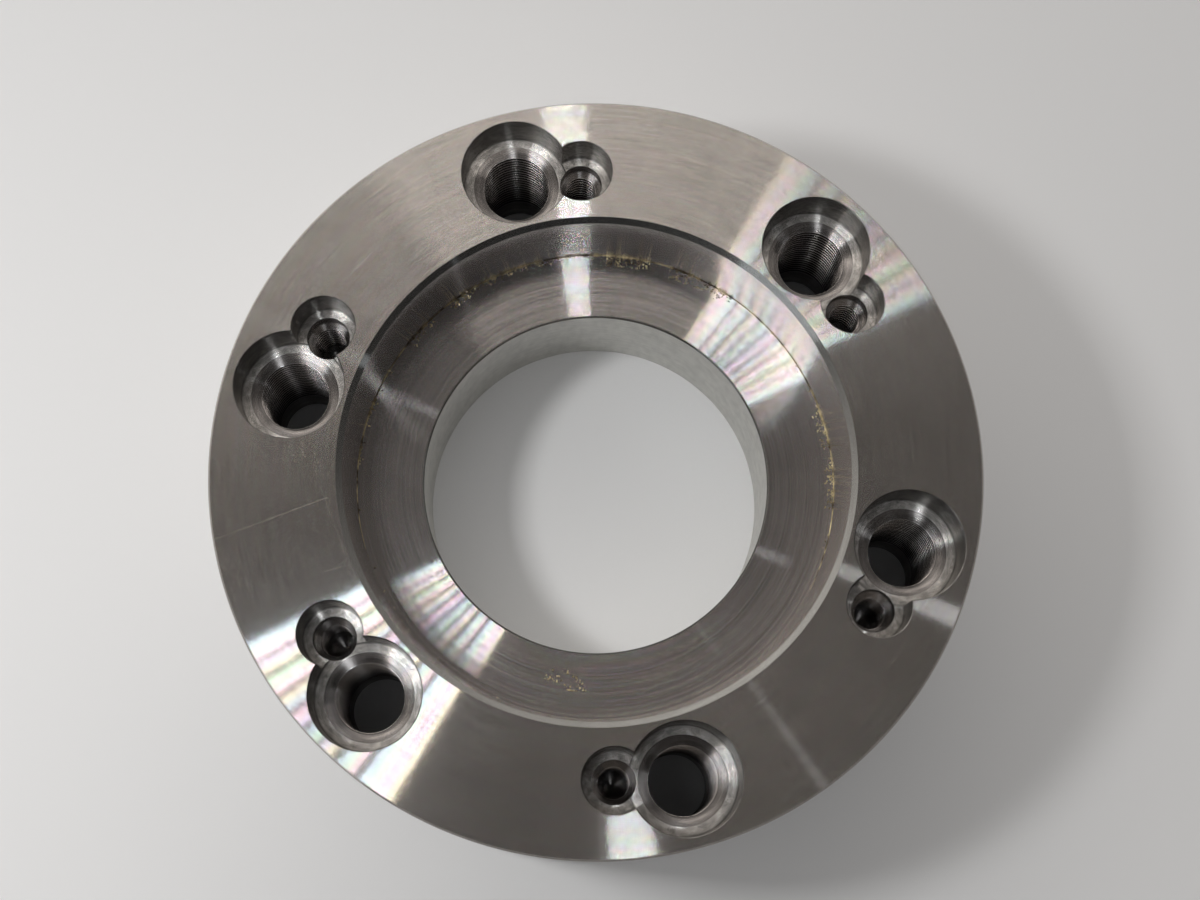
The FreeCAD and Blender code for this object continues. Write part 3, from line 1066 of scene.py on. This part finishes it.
NEAR_LAMP_BEARING = math.radians(104.7)
NEAR_LAMP_OUT = 82 * MM
NEAR_LAMP_HEIGHT = 92 * MM        # above the face
NEAR_LAMP_SIZE = (90 * MM, 15 * MM)
NEAR_LAMP_RADIANCE = 1.8


def smooth_step(tree, value, low, high, at_low, at_high):
    """Value carried from one range to another with soft ends, its range given in degrees."""
    return add(tree, "ShaderNodeMapRange",
               {"Value": value, "From Min": math.radians(low), "From Max": math.radians(high),
                "To Min": at_low, "To Max": at_high}, interpolation_type="SMOOTHSTEP").outputs[0]


def make_floor(colours):
    """Plain pale floor that the plate lies on."""
    mesh = bpy.data.meshes.new("floor")
    half = FLOOR_SIZE / 2
    corners = [(-half, -half, 0), (half, -half, 0), (half, half, 0), (-half, half, 0)]
    mesh.from_pydata(corners, [], [(0, 1, 2, 3)])
    # Plain vinyl: pale and matte, its glow faded into a painted shadow where the plate covers it
    material, tree, shader = new_material("vinyl_floor")
    shader.inputs["Base Color"].default_value = colours.floor_cover
    shader.inputs["Roughness"].default_value = 0.6
    shader.inputs["Specular IOR Level"].default_value = 0.2
    rays = add(tree, "ShaderNodeLightPath").outputs
    seen = maths(tree, "MAXIMUM", rays["Is Camera Ray"], rays["Is Glossy Ray"])
    openness = add(tree, "ShaderNodeAmbientOcclusion", {"Distance": SHADE_REACH}, samples=8).outputs["AO"]
    # Painted shadow: the glow fades where the plate hides the floor's sky
    glow_with_painted_shadow = ranged(tree, openness, CLOSED_SHARE, OPEN_SHARE, 0.0, FLOOR_GLOW)
    strength = maths(tree, "MULTIPLY", seen, glow_with_painted_shadow)
    glow = add(tree, "ShaderNodeEmission", {"Color": colours.floor_cover, "Strength": strength})
    both = add(tree, "ShaderNodeAddShader", {0: shader.outputs[0], 1: glow.outputs[0]})
    tree.links.new(both.outputs[0], tree.nodes["Material Output"].inputs["Surface"])
    mesh.materials.append(material)
    linked("floor", mesh)


def streak_direction(bearing, lean, toward_camera):
    """Direction of a light whose streak on a circular-turned face lies along one radial line."""
    outward = Vector((math.cos(bearing), math.sin(bearing), 0))
    sideways = Vector((-math.sin(bearing), math.cos(bearing), 0))
    aside = -toward_camera.dot(sideways)
    out = math.sin(lean)
    return outward * out + sideways * aside + Vector((0, 0, math.sqrt(1 - aside * aside - out * out)))


def reflected_lamp(name, place, axes, size, radiance, tint):
    """Rectangular lamp that reflections see and matt surfaces don't, as bright as its radiance says."""
    data = bpy.data.lights.new(name, "AREA")
    data.shape = "RECTANGLE"
    data.size, data.size_y = size
    data.energy = radiance * data.size * data.size_y * math.pi
    data.color = linear(tint)[:3]
    lamp = linked(name, data)
    lamp.matrix_world = Matrix.Translation(place) @ Matrix(axes).transposed().to_4x4()
    lamp.visible_diffuse = False


def make_streak_lamp(bearing, width, nearest, farthest, strength, tint):
    """Area lamp that throws one streak along a radial line of the plate."""
    centre = Vector((0, 0, THICKNESS))
    toward_camera = (camera_place() - centre).normalized()
    high = streak_direction(bearing, nearest, toward_camera) * LAMP_DISTANCE
    low = streak_direction(bearing, farthest, toward_camera) * LAMP_DISTANCE
    middle = (low + high) / 2
    back = middle.normalized()
    rise = (high - low).normalized()
    rise = (rise - back * rise.dot(back)).normalized()
    side = rise.cross(back)
    size = (LAMP_DISTANCE * math.sin((nearest + farthest) / 2) * width, (high - low).length)
    reflected_lamp("streak_lamp", centre + middle, (side, rise, back), size, strength * LAMP_RADIANCE, tint)


def make_sky():
    """World with a low even level and one broad soft glow, as from the bright side of a room."""
    world = bpy.data.worlds.new("studio")
    world.use_nodes = True
    tree = world.node_tree
    way = add(tree, "ShaderNodeTexCoord").outputs["Generated"]
    level = vector(tree, "NORMALIZE", vector(tree, "MULTIPLY", way, (1, 1, 0)))
    middle = (math.cos(GLOW_BEARING), math.sin(GLOW_BEARING), 0)
    facing = vector(tree, "DOT_PRODUCT", level, middle, out=1)
    strength = maths(tree, "POWER", maths(tree, "MULTIPLY_ADD", facing, 0.5, 0.5), GLOW_FOCUS)
    rise = maths(tree, "ARCSINE", add(tree, "ShaderNodeSeparateXYZ", {0: way}).outputs[2])
    for step in GLOW_STEPS:
        strength = maths(tree, "MULTIPLY", strength, smooth_step(tree, rise, *step))
    glow = scaled(tree, scaled(tree, linear(GLOW_COLOUR)[:3], GLOW_STRENGTH), strength)
    tree.links.new(vector(tree, "ADD", glow, SKY_COLOUR), tree.nodes["Background"].inputs["Color"])
    bpy.context.scene.world = world


def make_flag():
    """Black card above the front of the plate: it keeps the front lamp off the recess."""
    bearing = math.radians(FRONT_BEARING)
    outward = Vector((math.cos(bearing), math.sin(bearing), 0))
    sideways = Vector((-outward.y, outward.x, 0))
    centre = Vector((0, 0, THICKNESS + FLAG_HEIGHT))
    corners = []
    for out, side in ((FLAG_NEAR, -0.5), (FLAG_FAR, -0.5), (FLAG_FAR, 0.5), (FLAG_NEAR, 0.5)):
        corners.append(centre + outward * out + sideways * side * FLAG_WIDTH)
    mesh = bpy.data.meshes.new("light_flag")
    mesh.from_pydata(corners, [], [(0, 1, 2, 3)])
    # Felt: black without a shine
    material, tree, shader = new_material("black_felt")
    shader.inputs["Base Color"].default_value = linear(FLAG_COLOUR)
    shader.inputs["Roughness"].default_value = 1.0
    mesh.materials.append(material)
    flag = linked("light_flag", mesh)
    flag.visible_camera = False


def make_side_lamp():
    """Soft lamp at the left that gives the floor its shadow of the plate; the steel doesn't mirror it."""
    data = bpy.data.lights.new("side_lamp", "AREA")
    data.size = SIDE_LAMP_SIZE
    data.energy = SIDE_LAMP_POWER
    lamp = linked("side_lamp", data)
    lamp.location = SIDE_LAMP_PLACE
    lamp.rotation_euler = Vector(SIDE_LAMP_PLACE).to_track_quat("Z", "Y").to_euler()
    lamp.visible_glossy = False


def make_near_lamp():
    """Soft lamp close above the far side of the recess: it only lights the floor of the recess there."""
    outward = Vector((math.cos(NEAR_LAMP_BEARING), math.sin(NEAR_LAMP_BEARING), 0))
    place = outward * NEAR_LAMP_OUT + Vector((0, 0, THICKNESS + NEAR_LAMP_HEIGHT))
    back = (place - outward * BORE_RADIUS).normalized()
    sideways = Vector((-outward.y, outward.x, 0))
    axes = (sideways, back.cross(sideways), back)
    reflected_lamp("near_lamp", place, axes, NEAR_LAMP_SIZE, NEAR_LAMP_RADIANCE, GLOW_COLOUR)


def ray_lamps():
    """The lamps of the window streaks, each divided into narrow rays of different tints."""
    rays = []
    for bearing, width, nearest, farthest, strength in RAY_LAMPS:
        count = round(width / RAY_WIDTH)
        for number in range(count):
            place = bearing + width * ((number + 0.5) / count - 0.5)
            tint = RAY_TINTS[len(rays) % len(RAY_TINTS)]
            rays.append((place, width / count, nearest, farthest, strength, tint))
    return rays


def make_lights():
    """Soft studio light."""
    make_sky()
    make_flag()
    make_side_lamp()
    make_near_lamp()
    soft_lamps = [(*lamp, LAMP_COLOUR) for lamp in (*SOFT_LAMPS, FRONT_LAMP)]
    for *degrees, strength, tint in ray_lamps() + soft_lamps:
        make_streak_lamp(*(math.radians(angle) for angle in degrees), strength, tint)


LENS = 53.71                      # of the camera, for a 36 mm sensor
SENSOR = 36.0
AIM = Vector((-0.237, 2.981, 45.0)) * MM
CAMERA_DISTANCE = 372.28 * MM
CAMERA_AZIMUTH = math.radians(9.651)
CAMERA_ELEVATION = math.radians(77.025)
CAMERA_ROLL = math.radians(5.071)


def camera_back():
    """Direction from what the camera looks at to the camera."""
    level = math.cos(CAMERA_ELEVATION)
    rise = math.sin(CAMERA_ELEVATION)
    return Vector((level * math.sin(CAMERA_AZIMUTH), -level * math.cos(CAMERA_AZIMUTH), rise))


def camera_place():
    """Where the camera stands."""
    return AIM + camera_back() * CAMERA_DISTANCE


def make_camera():
    """Camera at the photograph's viewing angle."""
    back = camera_back()
    level_right = Vector((0, 0, 1)).cross(back).normalized()
    level_up = back.cross(level_right)
    right = level_right * math.cos(CAMERA_ROLL) + level_up * math.sin(CAMERA_ROLL)
    up = back.cross(right)
    data = bpy.data.cameras.new("camera")
    data.sensor_width = SENSOR
    data.lens = LENS
    camera = linked("camera", data)
    turn = Matrix((right, up, back)).transposed().to_4x4()
    camera.matrix_world = Matrix.Translation(camera_place()) @ turn
    bpy.context.scene.camera = camera


# Registration

OPERATORS = (BACKPLATE_OT_plate, BACKPLATE_OT_oil, BACKPLATE_OT_stage)
CLASSES = (BackplateSizes, BackplateColours, *OPERATORS, BACKPLATE_PT_panel)


def register():
    """Register the add-on's classes and its settings on the scene."""
    for item in CLASSES:
        bpy.utils.register_class(item)
    bpy.types.Scene.backplate_sizes = PointerProperty(type=BackplateSizes)
    bpy.types.Scene.backplate_colours = PointerProperty(type=BackplateColours)


def unregister():
    """Remove the settings and the classes again."""
    del bpy.types.Scene.backplate_colours
    del bpy.types.Scene.backplate_sizes
    for item in reversed(CLASSES):
        bpy.utils.unregister_class(item)


def main():
    """Make every piece and the stage."""
    register()
    bpy.context.scene.view_settings.view_transform = "Standard"
    bpy.ops.backplate.plate()
    bpy.ops.backplate.oil()
    bpy.ops.backplate.stage()


if __name__ == "__main__":
    main()
